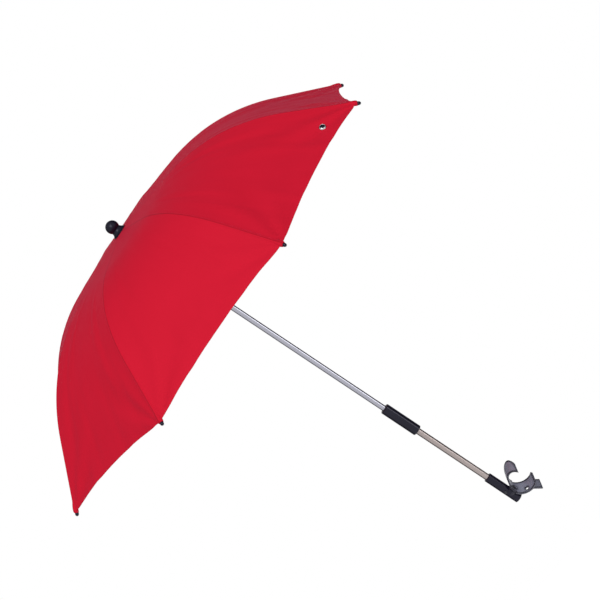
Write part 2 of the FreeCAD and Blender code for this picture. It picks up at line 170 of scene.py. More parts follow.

# %% [markdown]
# ## Red cloth
# The canopy is a plain woven polyester: matt, with a soft bloom where it turns away from the eye. The seam over
# each rib is a low ridge, and the shadow along it is painted in: the colour darkens towards the seam line. A
# picture of cloth could be laid on, but it would stretch with the panels. So each mesh carries a map in
# millimetres, across from the rib's seam and back from the hem. The weave, the seam with its painted shadow and
# the rows of stitches are drawn on that map, where they follow the cut of the cloth. The threads only press into
# the bump, because at this size their colour would flicker.

# %% Red cloth finish
CUT_MAP = "cut"
CLOTH_RED = (0.63, 0.006, 0.029, 1.0)
CLOTH_DEEP = (0.55, 0.005, 0.0225, 1.0)
# Painted shadow: the dark red that the cloth takes along the seam over each rib.
CLOTH_SEAM_SHADOW = (0.38, 0.003, 0.015, 1.0)
CLOTH_SURFACE = {
    "Roughness": 0.75,
    "Specular_IOR_Level": 0.12,
    "Sheen_Weight": 0.09,
    "Sheen_Roughness": 0.35,
    "Sheen_Tint": (1.0, 0.42, 0.85, 1.0),
}
THREAD_PITCH = 0.5
STITCH_LENGTH = 2.6
STITCH_SHARE = 0.72
STITCH_WIDTH = 0.45
SEAM_STITCH = 2.6
SEAM_RIDGE_AND_SHADOW_WIDTH = 1.3
HEM_STITCH = 6.0
CLOUD_SCALE = 0.018
SLUB_SCALE = 0.35
SLUB_TONE = 0.35
SLUB_HEIGHT = 0.5
WEAVE_HEIGHT = 0.12
STITCH_HEIGHT = 0.8
RIDGE_HEIGHT = 1.2
CLOTH_BUMP = 0.35
CLOTH_RELIEF = 0.0003


def thread(finish, place):
    return maths(finish, "SINE", maths(finish, "MULTIPLY", place, 2 * pi / THREAD_PITCH))


def stitch_row(finish, across, along, place):
    off = maths(finish, "ABSOLUTE", maths(finish, "SUBTRACT", across, place))
    row = maths(finish, "LESS_THAN", off, STITCH_WIDTH)
    share = maths(finish, "FRACT", maths(finish, "DIVIDE", along, STITCH_LENGTH))
    return maths(finish, "MULTIPLY", row, maths(finish, "LESS_THAN", share, STITCH_SHARE))


def cloth_finish():
    finish, shader = start_finish("red_cloth", **CLOTH_SURFACE)
    place = add_node(finish, "ShaderNodeUVMap", uv_map=CUT_MAP).outputs["UV"]
    split = add_node(finish, "ShaderNodeSeparateXYZ", {0: place})
    sideways, back = split.outputs["X"], split.outputs["Y"]
    across = maths(finish, "ABSOLUTE", sideways)
    weave = maths(finish, "MULTIPLY", thread(finish, sideways), thread(finish, back))
    seam = stitch_row(finish, across, back, SEAM_STITCH)
    hem = stitch_row(finish, back, sideways, HEM_STITCH)
    stitches = maths(finish, "MAXIMUM", seam, hem)
    # The ridge over the rib is 1 at the seam and 0 beyond it; it also sets the painted shadow along the seam.
    ridge_and_seam_shadow = maths(finish, "SUBTRACT", 1.0, maths(finish, "DIVIDE", across, SEAM_RIDGE_AND_SHADOW_WIDTH))
    ridge_and_seam_shadow = maths(finish, "MAXIMUM", ridge_and_seam_shadow, 0.0)

    slub = noise(finish, place, SLUB_SCALE)
    cloud = maths(finish, "MULTIPLY", noise(finish, place, CLOUD_SCALE, detail=3.0), 1 - SLUB_TONE)
    tone = maths(finish, "MULTIPLY_ADD", slub, SLUB_TONE, cloud)
    colour = blend_colours(finish, tone, CLOTH_DEEP, CLOTH_RED)
    # Painted shadow: the colour darkens along the seam over the rib.
    colour = blend_colours(finish, ridge_and_seam_shadow, colour, CLOTH_SEAM_SHADOW)
    join(finish, colour, shader.inputs["Base Color"])

    height = maths(finish, "MULTIPLY", slub, SLUB_HEIGHT)
    for form, rise in ((weave, WEAVE_HEIGHT), (stitches, STITCH_HEIGHT), (ridge_and_seam_shadow, RIDGE_HEIGHT)):
        height = maths(finish, "MULTIPLY_ADD", form, rise, height)
    bump(finish, shader, height, CLOTH_BUMP, CLOTH_RELIEF)
    return finish


red_cloth = cloth_finish()
print("finish:", red_cloth.name)

# %% [markdown]
# ## Steel
# The tubes are drawn steel: bright, with faint lines along their length. The lower tube is a little
# warmer than the upper one, the ribs are duller, and the hinge pin and the stud are plated. One even grey
# would look like plastic. So a noise that is stretched along the shaft draws the lines, and a coarser one
# makes the gloss uneven. On the small pieces the first noise isn't stretched.

# %% Steel finishes
UPPER_STEEL = (0.60, 0.60, 0.69, 1.0)
LOWER_STEEL = (0.54, 0.465, 0.45, 1.0)
RIB_STEEL = (0.55, 0.56, 0.58, 1.0)
PLATED_METAL = (0.74, 0.73, 0.75, 1.0)
ALONG_SHAFT = (900.0, 900.0, 6.0)
ALL_WAYS = (160.0, 160.0, 160.0)
DULL_SHARE = 0.82
STEEL_CLOUDS = 30.0
STEEL_LEAST = 0.75
STEEL_SPREAD = 0.5
LINE_BUMP = 0.08
FINE_RELIEF = 0.0002


def uneven_gloss(finish, shader, cloud, least, spread):
    join(finish, maths(finish, "MULTIPLY_ADD", cloud, spread, least), shader.inputs["Roughness"])


def metal_finish(name, colour, roughness, lines):
    finish, shader = start_finish(name, Metallic=1.0)
    place = add_node(finish, "ShaderNodeTexCoord").outputs["Object"]
    stretched = add_node(finish, "ShaderNodeMapping", {"Vector": place, "Scale": lines}).outputs[0]
    streak = noise(finish, stretched, scale=1.0, detail=4.0)
    cloud = noise(finish, place, STEEL_CLOUDS, detail=3.0)
    dull = tuple(DULL_SHARE * part for part in colour[:3]) + (1.0,)
    join(finish, blend_colours(finish, streak, dull, colour), shader.inputs["Base Color"])
    uneven_gloss(finish, shader, cloud, STEEL_LEAST * roughness, STEEL_SPREAD * roughness)
    bump(finish, shader, streak, LINE_BUMP, FINE_RELIEF)
    return finish


upper_steel = metal_finish("upper_tube_steel", UPPER_STEEL, roughness=0.19, lines=ALONG_SHAFT)
lower_steel = metal_finish("lower_tube_steel", LOWER_STEEL, roughness=0.22, lines=ALONG_SHAFT)
frame_steel = metal_finish("rib_steel", RIB_STEEL, roughness=0.32, lines=ALL_WAYS)
bright_metal = metal_finish("plated_metal", PLATED_METAL, roughness=0.16, lines=ALL_WAYS)
print("steel:", [finish.name for finish in (upper_steel, lower_steel, frame_steel, bright_metal)])

# %% [markdown]
# ## Plastic
# The mouldings on the shaft are black, the sleeve and the socket glossier than the rest, and the clip is a dark
# grey. A fine grain keeps them from looking like glass. On the clip, lighter clouds are painted highlights,
# scattered at random. The clip's edges are rounded, and the shade that they turn into is painted. Cutting every
# edge round would take many faces, so the finish does it: a Bevel node gives the normal that a rounded edge would
# have, and where that departs from the face's own normal the colour goes nearly black, as painted shade.

# %% Plastic finishes
INK = (0.004, 0.0035, 0.011, 1.0)
INK_WORN = (0.009, 0.008, 0.020, 1.0)
SOOT = (0.022, 0.022, 0.027, 1.0)
SOOT_WORN = (0.032, 0.032, 0.039, 1.0)
SLATE = (0.15, 0.155, 0.205, 1.0)
# Painted highlight: the lighter grey of the clip's clouds.
SLATE_PAINTED_GLINT = (0.28, 0.29, 0.37, 1.0)
PLASTIC_GLINT = (0.86, 0.86, 1.0, 1.0)
PLASTIC_CLOUDS = 60.0
PLASTIC_PITS = 1800.0
PLASTIC_LEAST = 0.82
PLASTIC_SPREAD = 0.35
# Radius of the clip's rounding; it also sets how wide the painted edge shade is.
CLIP_ROUNDING = 0.005
EDGE_SAMPLES = 8
EDGE_SHADE_GAIN = 22.0


# Gives the normal of a rounded edge and a share near the edges for painted shade.
def rounded_edges_and_painted_shade(finish, radius):
    bevel = add_node(finish, "ShaderNodeBevel", {"Radius": radius}, samples=EDGE_SAMPLES)
    rounded = bevel.outputs["Normal"]
    flat = add_node(finish, "ShaderNodeNewGeometry").outputs["Normal"]
    alike = add_node(finish, "ShaderNodeVectorMath", {0: rounded, 1: flat}, operation="DOT_PRODUCT")
    apart = maths(finish, "SUBTRACT", 1.0, alike.outputs["Value"])
    share = maths(finish, "MULTIPLY", apart, EDGE_SHADE_GAIN)
    return rounded, maths(finish, "MINIMUM", share, 1.0)


def plastic_finish(name, colour, cloud_tone_and_glint, roughness, grain, shine, rounding=0.0):
    finish, shader = start_finish(name, Specular_IOR_Level=shine, Specular_Tint=PLASTIC_GLINT)
    place = add_node(finish, "ShaderNodeTexCoord").outputs["Object"]
    cloud = noise(finish, place, PLASTIC_CLOUDS, detail=3.0)
    pits = noise(finish, place, PLASTIC_PITS)
    surface = bump(finish, shader, pits, grain, FINE_RELIEF)
    # On the clip the lighter clouds are painted highlights; on the black mouldings they are a faint random tone.
    tone = blend_colours(finish, cloud, colour, cloud_tone_and_glint)
    if rounding:
        rounded, painted_edge_shade = rounded_edges_and_painted_shade(finish, rounding)
        join(finish, rounded, surface.inputs["Normal"])
        # Painted shade: near the clip's edges the colour goes nearly black.
        tone = blend_colours(finish, painted_edge_shade, tone, INK)
    join(finish, tone, shader.inputs["Base Color"])
    uneven_gloss(finish, shader, cloud, PLASTIC_LEAST * roughness, PLASTIC_SPREAD * roughness)
    return finish


gloss_black = plastic_finish("gloss_black", INK, INK_WORN, roughness=0.3, grain=0.05, shine=0.28)
frame_black = plastic_finish("frame_black", SOOT, SOOT_WORN, roughness=0.5, grain=0.1, shine=0.4)
clip_surface = {"roughness": 0.28, "grain": 0.15, "shine": 0.6, "rounding": CLIP_ROUNDING}
clip_grey = plastic_finish("clip_grey", SLATE, SLATE_PAINTED_GLINT, **clip_surface)
sleeve_black = plastic_finish("sleeve_black", INK, INK_WORN, roughness=0.15, grain=0.05, shine=0.42)
print("plastic:", [finish.name for finish in (gloss_black, frame_black, clip_grey, sleeve_black)])

# %% [markdown]
# ## Finishes on the frame
# Every piece of the frame that stays in view takes one of these finishes. They could be given piece by
# piece, but the record already says which slot each node belongs to, so a table from slot to finish is
# enough. Five nodes differ from their slot: the lower tube is warmer, the sleeve and the socket are
# glossier, and the socket's rivet and the clip's screw are blackened.

# %% Dress the frame
SLOT_FINISH = {
    "canopy_cloth": red_cloth,
    "frame_steel": frame_steel,
    "tube_steel": upper_steel,
    "black_plastic": gloss_black,
    "frame_plastic": frame_black,
    "clip_plastic": clip_grey,
    "bright_metal": bright_metal,
}
NODE_FINISH = {
    "lower_tube": lower_steel,
    "joint_sleeve": sleeve_black,
    "clamp_socket": sleeve_black,
    "socket_rivet": frame_black,
    "swivel_screw": frame_black,
}
for subpart in frame["record"]["subparts"]:
    node = frame["nodes"][subpart["node"]]
    finish = SLOT_FINISH[subpart["material_slot"]]
    finish = NODE_FINISH.get(subpart["node"], finish)
    node.data.materials.clear()
    node.data.materials.append(finish)

# %% [markdown]
# ## The line of the canopy
# Over a rib the cloth runs nearly level from the crown, bends once and falls straight to the hem. A curve
# object could hold this line, but the rib, the hem and every row of the cloth follow it, so it is a
# function of the station, which is the distance from the shaft. What the frame can tell is read from it:
# the top of the cloth, the rib's hinge and how far out the cloth reaches.

# %% Rib line
CANOPY_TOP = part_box("canopy_rosette")[1].z
CLOTH_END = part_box("canopy_panel_1")[1].x - SHAFT_X
RIB_COUNT = sum(name.startswith("rib_hinge") for name in joints)
HINGE_RADIUS = joints["rib_hinge_1"]["pos_m"][0] - SHAFT_X
HINGE_HEIGHT = joints["rib_hinge_1"]["pos_m"][2]
CLOSING = radians(joints["rib_hinge_1"]["range_deg"][1])
HALF_STEP = pi / RIB_COUNT
CROWN_SLOPE = radians(3)
EDGE_SLOPE = radians(43)
BEND_START = 0.105
BEND_RADIUS = 0.270


def rib_line(station):
    slope = CROWN_SLOPE
    drop = (min(station, BEND_START) - HINGE_RADIUS) * tan(CROWN_SLOPE)
    bend_end = BEND_START + BEND_RADIUS * (sin(EDGE_SLOPE) - sin(CROWN_SLOPE))
    if station > BEND_START:
        slope = asin(min(sin(CROWN_SLOPE) + (station - BEND_START) / BEND_RADIUS, sin(EDGE_SLOPE)))
        drop += BEND_RADIUS * (cos(CROWN_SLOPE) - cos(slope))
    if station > bend_end:
        drop += (station - bend_end) * tan(EDGE_SLOPE)
    return CANOPY_TOP - drop, slope


def rib_angle(rib):
    return (rib - 1) * 2 * HALF_STEP


def rib_turn(rib):
    return Matrix.Rotation(rib_angle(rib), 3, "Z")


def place_on_rib(point, rib):
    turn = Matrix.Translation((SHAFT_X, 0, 0)) @ Matrix.Rotation(rib_angle(rib), 4, "Z")
    return turn @ point


print("rib line falls", round(CANOPY_TOP - rib_line(CLOTH_END)[0], 4), "m to the hem")

# %% [markdown]
# ## The line of the hem
# Between two ribs the hem is cut as a shallow arc, so that its edge pulls tight. Beside the rib tips,
# where the pocket holds it, it runs out a little further, and a soft limit keeps it from passing the
# rib's own end. A share counts across the half panel, from 0 at the rib to 1 at the middle of the gore.
# The station where the arc crosses a share is found in a few rounds of correction.

# %% Hem line
HEM_SCALLOP = 0.006
HEM_FLARE = 0.0056
FLARE_REACH = 0.020
HEM_CORNER = 0.0009
HEM_ROUNDS = 12


def hem_station(share):
    chord = CLOTH_END * sin(HALF_STEP)
    radius = (chord * chord + HEM_SCALLOP * HEM_SCALLOP) / (2 * HEM_SCALLOP)
    centre = CLOTH_END * cos(HALF_STEP) - HEM_SCALLOP + radius
    station = CLOTH_END
    for _ in range(HEM_ROUNDS):
        off_middle = station * sin(HALF_STEP) * (1 - share)
        station = (centre - (radius * radius - off_middle * off_middle) ** 0.5) / cos(HALF_STEP)
    from_rib = share * station * sin(HALF_STEP)
    station += HEM_FLARE * exp(-from_rib / FLARE_REACH)
    return CLOTH_END - HEM_CORNER * log(1 + exp((CLOTH_END - station) / HEM_CORNER))


print("hem at the rib", round(hem_station(0), 4), "and at mid-gore", round(hem_station(1), 4))

# %% [markdown]
# ## Stretched cloth
# Between two ribs the cloth is pulled taut, and because the ribs bow outward it sags inward, like a
# saddle. Small folds fan out from the rib tips, where it is sewn down, and faint ripples run down each
# gore. A cloth simulation could find this shape, but it is a simple one, so it is worked out: straight
# across from rib to mid-gore, then lowered by the sag, the folds and the ripples. Their waves are shifted
# from rib to rib and from side to side, so that neighbouring gores differ.

# %% Cloth shape
PANEL_START = 0.0106
CLOTH_DEPTH = 0.0003
CLOTH_SAG = 0.002
SAG_START = 0.05
SAG_RUN = 0.24
FOLD_HEIGHT = 0.0021
FOLD_REACH = 0.1
FOLD_COUNT = 9.0
FOLD_CORE = 0.004
FOLD_SHIFT = 1.7
RIPPLE_HEIGHT = 0.0005
RIPPLE_WAVES = 15
RIPPLE_RIB_SHIFT = 2.4
RIPPLE_SIDE_SHIFT = 1.1
FINE_SHARE = 0.6
FINE_WAVES = 27
FINE_SHIFT = 1.7
FINE_LEAN = 9


def fold_depth(station, across, share, shift):
    from_tip = hypot(CLOTH_END - station, across)
    turn = atan2(across, CLOTH_END - station + FOLD_CORE)
    fan = sin(turn * FOLD_COUNT + shift) * 4 * share * (1 - share)
    return FOLD_HEIGHT * exp(-from_tip / FOLD_REACH) * fan


def ripple_depth(along, share, reach, shift):
    fine = sin(FINE_WAVES * share - FINE_SHIFT * shift + FINE_LEAN * along)
    wave = sin(RIPPLE_WAVES * share + shift) + FINE_SHARE * fine
    return RIPPLE_HEIGHT * reach * wave * sin(pi * share) ** 2


def cloth_point(along, share, side, rib):
    station = PANEL_START + along * (hem_station(share) - PANEL_START)
    height, slope = rib_line(station)
    across = share * station * sin(HALF_STEP)
    point = Vector((station - across * sin(HALF_STEP), side * across * cos(HALF_STEP), height))
    normal = Vector((tan(slope) * cos(HALF_STEP), side * tan(slope) * sin(HALF_STEP), cos(HALF_STEP)))
    reach = min(1.0, max(0.0, (station - SAG_START) / SAG_RUN))
    sag = CLOTH_SAG * reach * reach * (3 - 2 * reach) * share * (2 - share)
    fold = fold_depth(station, across, share, FOLD_SHIFT * rib * side)
    ripple = ripple_depth(along, share, reach, RIPPLE_RIB_SHIFT * rib + RIPPLE_SIDE_SHIFT * side)
    return point - normal.normalized() * (CLOTH_DEPTH + sag + fold + ripple)


print("sag at the hem", round(CLOTH_SAG * MM_PER_M, 1), "mm")

# %% [markdown]
# ## Normals of the cloth
# Light shows a fold by the way the surface faces. Blender could work the normals out from each mesh, but
# two panels that meet would then shade apart at the join. So a normal is taken from the cloth's own
# shape, a small step to each side, and at the middle of the gore it is turned square to the join, the
# same for both panels.

# %% Cloth normals
NORMAL_STEP = 0.002
MIDDLE_SHARE = 0.999


def cloth_normal(along, share, side, rib):
    low, high = max(0.0, along - NORMAL_STEP), min(1.0, along + NORMAL_STEP)
    left, right = max(0.0, share - NORMAL_STEP), min(1.0, share + NORMAL_STEP)
    lengthwise = cloth_point(high, share, side, rib) - cloth_point(low, share, side, rib)
    crosswise = cloth_point(along, right, side, rib) - cloth_point(along, left, side, rib)
    normal = lengthwise.cross(crosswise) * side
    if share > MIDDLE_SHARE:
        middle_cross = Vector((-sin(HALF_STEP), side * cos(HALF_STEP), 0))
        normal -= middle_cross * normal.dot(middle_cross)
    return normal.normalized()


print("normal at mid-gore", [round(part, 2) for part in cloth_normal(0.5, 1.0, 1, 1)])

# %% [markdown]
# ## Bands of a panel
# A panel is the cloth that one rib carries, out to the middle of the gore on both sides. Neighbours meet
# there edge to edge, with matching points and normals, so the open canopy is one unbroken sheet.
# When the parasol closes, the panel swings with its rib and has to narrow, a lot near the hem and little near the
# crown. One squash narrows a piece by one share only, so each panel is cut into bands along the rib, and for each
# band the share that brings it to the middle between two closed ribs is worked out. Nothing here squashes the
# bands by it. The bands are short where that share changes fast.

# %% Band helpers
BAND_ENDS = [0.0, 0.035, 0.065, 0.1, 0.16, 0.27, 0.4, 0.5, 0.58, 0.65]
BAND_ENDS += [0.71, 0.76, 0.8, 0.84, 0.88, 0.92, 0.96, 1.0]
BANDS = len(BAND_ENDS) - 1
ROW_STEP = 1 / 72
CROWN_BANDS = 6
CROWN_LEAN = 0.6
LEAST_KEEP = 0.03


def band_rows(band):
    low, high = BAND_ENDS[band], BAND_ENDS[band + 1]
    steps = max(2, round((high - low) / ROW_STEP))
    return [low + (high - low) * k / steps for k in range(steps + 1)]


def band_keep(band):
    shares = []
    for along in BAND_ENDS[band : band + 2]:
        edge = cloth_point(along, 1.0, 1, 1)
        out, down = edge.x - HINGE_RADIUS, edge.z - HINGE_HEIGHT
        shares.append((HINGE_RADIUS + out * cos(CLOSING) + down * sin(CLOSING)) / edge.x)
    lean = CROWN_LEAN if band < CROWN_BANDS else 1.0
    return min(1.0, max(LEAST_KEEP, lean * max(shares) + (1 - lean) * min(shares)))


def fold_with_rib(piece, keep):
    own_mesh(piece)


print("shares kept at closing:", [round(band_keep(band), 2) for band in range(BANDS)])

# %% [markdown]
# ## Sheets of cloth
# Every piece of cloth here is a grid of rows and columns. A grid from Blender's own menu would have to be
# bent into place, so one helper makes the mesh from three functions: where a grid point lies, which way
# it faces and where it lies on the map. The columns of a panel crowd towards the rib, where the hem turns
# its corner.

# %% Sheet helper
COLUMNS = 14
PANEL_COLUMNS = list(range(-COLUMNS, COLUMNS + 1))
COLUMN_CROWDING = 1.6


def side_of(column):
    return 1 if column >= 0 else -1


def column_share(column):
    return (abs(column) / COLUMNS) ** COLUMN_CROWDING, side_of(column)


def make_sheet(name, rows, columns, point_at, normal_at, map_at):
    wide = len(columns)
    points = [point_at(row, column) for row in rows for column in columns]
    faces = []
    for i in range(len(rows) - 1):
        for j in range(wide - 1):
            corner = i * wide + j
            faces.append((corner, corner + wide, corner + wide + 1, corner + 1))
    mesh = bpy.data.meshes.new(name)
    mesh.from_pydata(points, [], faces)
    layer = mesh.uv_layers.new(name=CUT_MAP)
    normals = []
    for face_index, face in enumerate(mesh.polygons):
        face.use_smooth = True
        side = side_of(columns[face_index % (wide - 1)])
        for loop in face.loop_indices:
            vertex = mesh.loops[loop].vertex_index
            row, column = rows[vertex // wide], columns[vertex % wide]
            layer.data[loop].uv = map_at(row, column)
            normals.append(normal_at(row, column, side))
    mesh.normals_split_custom_set(normals)
    piece = bpy.data.objects.new(name, mesh)
    piece.data.materials.append(red_cloth)
    bpy.context.scene.collection.objects.link(piece)
    return piece


print("a panel is", len(PANEL_COLUMNS), "columns wide")

# %% [markdown]
# ## Hem
# The edge of the cloth is folded under and sewn down. The fold could be a bevel on the panel's edge, but
# it is a strip of its own: it starts on the cloth's edge, goes round a small roll and runs back
# underneath. At the ribs the roll is finer, because the rib lies close below.

# %% Hem
HEM_WIDTH = 0.0075
HEM_ROLL = 0.0006
ROLL_AT_RIB = 0.45
ROLL_RUN = 0.006
ROLL_STEPS = 5
HEM_INSIDE = 0.99


def hem_frame(share, side, rib):
    edge = cloth_point(1.0, share, side, rib)
    normal = cloth_normal(1.0, share, side, rib)
    outward = (edge - cloth_point(HEM_INSIDE, share, side, rib)).normalized()
    from_rib = share * CLOTH_END * sin(HALF_STEP)
    roll = HEM_ROLL * (ROLL_AT_RIB + (1 - ROLL_AT_RIB) * min(1.0, from_rib / ROLL_RUN))
    return edge, normal, outward, roll


def make_hem(rib):
    turn = rib_turn(rib)
    rows = list(range(ROLL_STEPS + 2))

    def point_at(row, column):
        share, side = column_share(column)
        edge, normal, outward, roll = hem_frame(share, side, rib)
        point = edge - 2 * roll * normal - HEM_WIDTH * outward
        if row <= ROLL_STEPS:
            angle = pi * row / ROLL_STEPS
            point = edge - roll * normal + roll * (cos(angle) * normal + sin(angle) * outward)
        return place_on_rib(point, rib)

    def normal_at(row, column, side):
        share, _ = column_share(column)
        _, normal, outward, _ = hem_frame(share, side, rib)
        angle = pi * min(row, ROLL_STEPS) / ROLL_STEPS
        return turn @ (cos(angle) * normal + sin(angle) * outward)

    def map_at(row, column):
        share, side = column_share(column)
        across = side * share * CLOTH_END * sin(HALF_STEP)
        back = HEM_WIDTH * max(0, row - ROLL_STEPS)
        return (MM_PER_M * across, MM_PER_M * back)

    return make_sheet("canopy_hem_%d" % rib, rows, PANEL_COLUMNS, point_at, normal_at, map_at)


print("hem", HEM_WIDTH * MM_PER_M, "mm wide")

# %% [markdown]
# ## Pockets at the rib tips
# Each rib ends in a small pocket of cloth, sewn under the hem. It is a sleeve round the end of the rib:
# it comes out of the cloth, swells a little, and draws in round the root of the black tip. A turned shape
# would be too round for it, so it is given as rings along the rib. Each ring has its distance beyond the
# hem, its half width, and its top and bottom measured from the cloth's line.

# %% Rib pockets
POCKET_RINGS = [
    (-0.0160, 0.0026, -0.0006, -0.0055),
    (-0.0125, 0.0032, 0.0000, -0.0056),
    (-0.0085, 0.0038, 0.0007, -0.0058),
    (-0.0040, 0.0042, 0.0011, -0.0060),
    (-0.0010, 0.0042, 0.0010, -0.0061),
    (0.0008, 0.0038, 0.0006, -0.0061),
    (0.0018, 0.0031, -0.0002, -0.0060),
    (0.0021, 0.0027, -0.0005, -0.0059),
]
POCKET_COLUMNS = 10
POCKET_HALF_GIRTH_MM = 12.0
POCKET_MAP_START_MM = 10


def pocket_point(ring, column):
    distance, half_width, top, bottom = POCKET_RINGS[ring]
    height, slope = rib_line(CLOTH_END)
    angle = pi * column / POCKET_COLUMNS
    above = (top + bottom) / 2 + (top - bottom) / 2 * cos(angle)
    out = CLOTH_END + distance * cos(slope) + above * sin(slope)
    return Vector((out, half_width * sin(angle), height - distance * sin(slope) + above * cos(slope)))


def make_pocket(rib):
    turn = rib_turn(rib)
    rings = list(range(len(POCKET_RINGS)))
    columns = list(range(-POCKET_COLUMNS, POCKET_COLUMNS + 1))

    def point_at(ring, column):
        return place_on_rib(pocket_point(ring, column), rib)

    def normal_at(ring, column, side):
        ahead, behind = min(rings[-1], ring + 1), max(0, ring - 1)
        lengthwise = pocket_point(ahead, column) - pocket_point(behind, column)
        crosswise = pocket_point(ring, column + 1) - pocket_point(ring, column - 1)
        return turn @ lengthwise.cross(crosswise).normalized()

    def map_at(ring, column):
        across = POCKET_HALF_GIRTH_MM * column / POCKET_COLUMNS
        return (across, POCKET_MAP_START_MM - MM_PER_M * POCKET_RINGS[ring][0])

    pocket = make_sheet("tip_pocket_%d" % rib, rings, columns, point_at, normal_at, map_at)
    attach(pocket, "rib_body_%d" % rib)
    return pocket


print("pockets", round(MM_PER_M * (POCKET_RINGS[-1][0] - POCKET_RINGS[0][0]), 1), "mm long")

# %% [markdown]
# ## Rib tunnels
# Along its outer half each rib runs in a narrow tunnel of cloth, sewn on with the seam. It shows as a low
# ridge when the parasol is open. When it is closed the panel folds in below the rib, and the tunnel still
# covers the steel. It could be cut in bands as the panel is, but it doesn't narrow, so one piece on each
# rib is enough. Its section is given in millimetres, from the middle to one edge: how far off the rib,
# and how deep below the cloth.

# %% Rib tunnels
TUNNEL_PROFILE = [(0.0, 0.15), (1.0, 0.30), (1.9, 0.62), (2.4, 1.2), (2.45, 3.0), (2.4, 5.3)]
TUNNEL_EDGE = len(TUNNEL_PROFILE) - 1
TUNNEL_START = 0.178
TUNNEL_TO_HEM = 0.0095
TUNNEL_ROWS = 26
TUNNEL_MAP_START_MM = 12
TUNNEL_EASE = 1.002


def tunnel_point(row, column):
    column = max(-TUNNEL_EDGE, min(TUNNEL_EDGE, column))
    station = TUNNEL_START + (CLOTH_END - TUNNEL_TO_HEM - TUNNEL_START) * row / TUNNEL_ROWS
    height, slope = rib_line(station)
    off, depth = (part / MM_PER_M for part in TUNNEL_PROFILE[abs(column)])
    return Vector((station - depth * sin(slope), side_of(column) * off, height - depth * cos(slope)))


def make_tunnel(rib):
    turn = rib_turn(rib)
    rows = list(range(TUNNEL_ROWS + 1))
    columns = list(range(-TUNNEL_EDGE, TUNNEL_EDGE + 1))
    steps = [tunnel_point(0, k + 1) - tunnel_point(0, k) for k in range(TUNNEL_EDGE)]
    half_width = sum(step.length for step in steps)

    def point_at(row, column):
        return place_on_rib(tunnel_point(row, column), rib)

    def normal_at(row, column, side):
        lengthwise = tunnel_point(row + 1, column) - tunnel_point(row - 1, column)
        crosswise = tunnel_point(row, column + 1) - tunnel_point(row, column - 1)
        return turn @ lengthwise.cross(crosswise).normalized()

    def map_at(row, column):
        to_hem = CLOTH_END - tunnel_point(row, 0).x
        return (MM_PER_M * half_width * column / TUNNEL_EDGE, MM_PER_M * to_hem + TUNNEL_MAP_START_MM)

    tunnel = make_sheet("rib_tunnel_%d" % rib, rows, columns, point_at, normal_at, map_at)
    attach(tunnel, "rib_body_%d" % rib)
    area = sum(face.area for face in tunnel.data.polygons)
    flat = (2 * half_width, area / (2 * half_width) * TUNNEL_EASE)
    return flat


for rib in range(1, RIB_COUNT + 1):
    tunnel_flat = make_tunnel(rib)
print("tunnels", [round(MM_PER_M * side, 1) for side in tunnel_flat], "mm flat")

# %% [markdown]
# ## Sewing the canopy
# Now the bands are made, rib by rib, from the crown to the hem. The last band of each panel comes with the hem and
# the pocket, and the plain solid of the panel is hidden. Each band and its hem go with the rib, and the pocket
# keeps its size, because the rib's end fills it. The ends and the flat width of each band are worked out but not
# used; a band's flat size is a little longer than the chord between its ends, because the cloth bows.


def follow_rib(piece, rib, keep):
    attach(piece, "rib_body_%d" % rib)
    fold_with_rib(piece, keep)


def make_band(rib, band, hems, pockets):
    rows = band_rows(band)
    turn = rib_turn(rib)

    def point_at(row, column):
        share, side = column_share(column)
        return place_on_rib(cloth_point(row, share, side, rib), rib)

    def normal_at(row, column, side):
        share, _ = column_share(column)
        return turn @ cloth_normal(row, share, side, rib)

    def map_at(row, column):
        share, side = column_share(column)
        station = PANEL_START + row * (hem_station(share) - PANEL_START)
        to_hem = (hem_station(share) - station) / cos(rib_line(station)[1])
        return (MM_PER_M * side * share * station * sin(HALF_STEP), MM_PER_M * to_hem)

    name = "canopy_panel_%d_band_%02d" % (rib, band + 1)
    piece = make_sheet(name, rows, PANEL_COLUMNS, point_at, normal_at, map_at)
    inner, outer = cloth_point(rows[0], 0, 1, rib), cloth_point(rows[-1], 0, 1, rib)
    width = 2 * hem_station(1) * rows[-1] * sin(HALF_STEP) + 2 * PANEL_START * sin(HALF_STEP)
    for part in [piece] + hems:
        follow_rib(part, rib, band_keep(band))
    support, sewn = ["rib_%d" % rib], hems + pockets
    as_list(support)
    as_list(sewn)
    return piece


bands = {}
for rib in range(1, RIB_COUNT + 1):
    for band in range(BANDS - 1):
        bands[rib, band] = make_band(rib, band, [], [])
    bands[rib, BANDS - 1] = make_band(rib, BANDS - 1, [make_hem(rib)], [make_pocket(rib)])
    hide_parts("canopy_panel_%d" % rib)
cloth_area = sum(face.area for piece in bands.values() for face in piece.data.polygons)
print("canopy:", len(bands), "bands of cloth,", round(cloth_area, 3), "m2")

# %% [markdown]
# ## Press stud
# The stud sits on the cloth beside the first rib, a little above the hem. It is a turned shape: a sloping foot, a
# tall ring and a shallow well inside it, painted black as the shade inside the ring. Blender's Screw modifier
# could turn it, but a short function gives the same rings of points, and the rosette uses it too. The profile is
# in millimetres: radius, then height above the cloth. The stud goes with the band of cloth that it is fixed to.

# %% Press stud
STUD_RIB = 1
STUD_SIDE = -1
STUD_FROM_HEM = 0.0213
STUD_OFFSET = 0.041
STUD_PROFILE = [(0.0, 0.5), (3.0, 0.5), (3.2, 1.9), (3.6, 2.1)]
STUD_PROFILE += [(4.1, 1.8), (4.5, 0.9), (5.0, 0.4), (5.0, 0.0)]
# Radius inside which the stud's faces take the black finish as painted shade.
STUD_SHADED_WELL = 3.25
STUD_TURNS = 40
SHARP_ANGLE = radians(50)


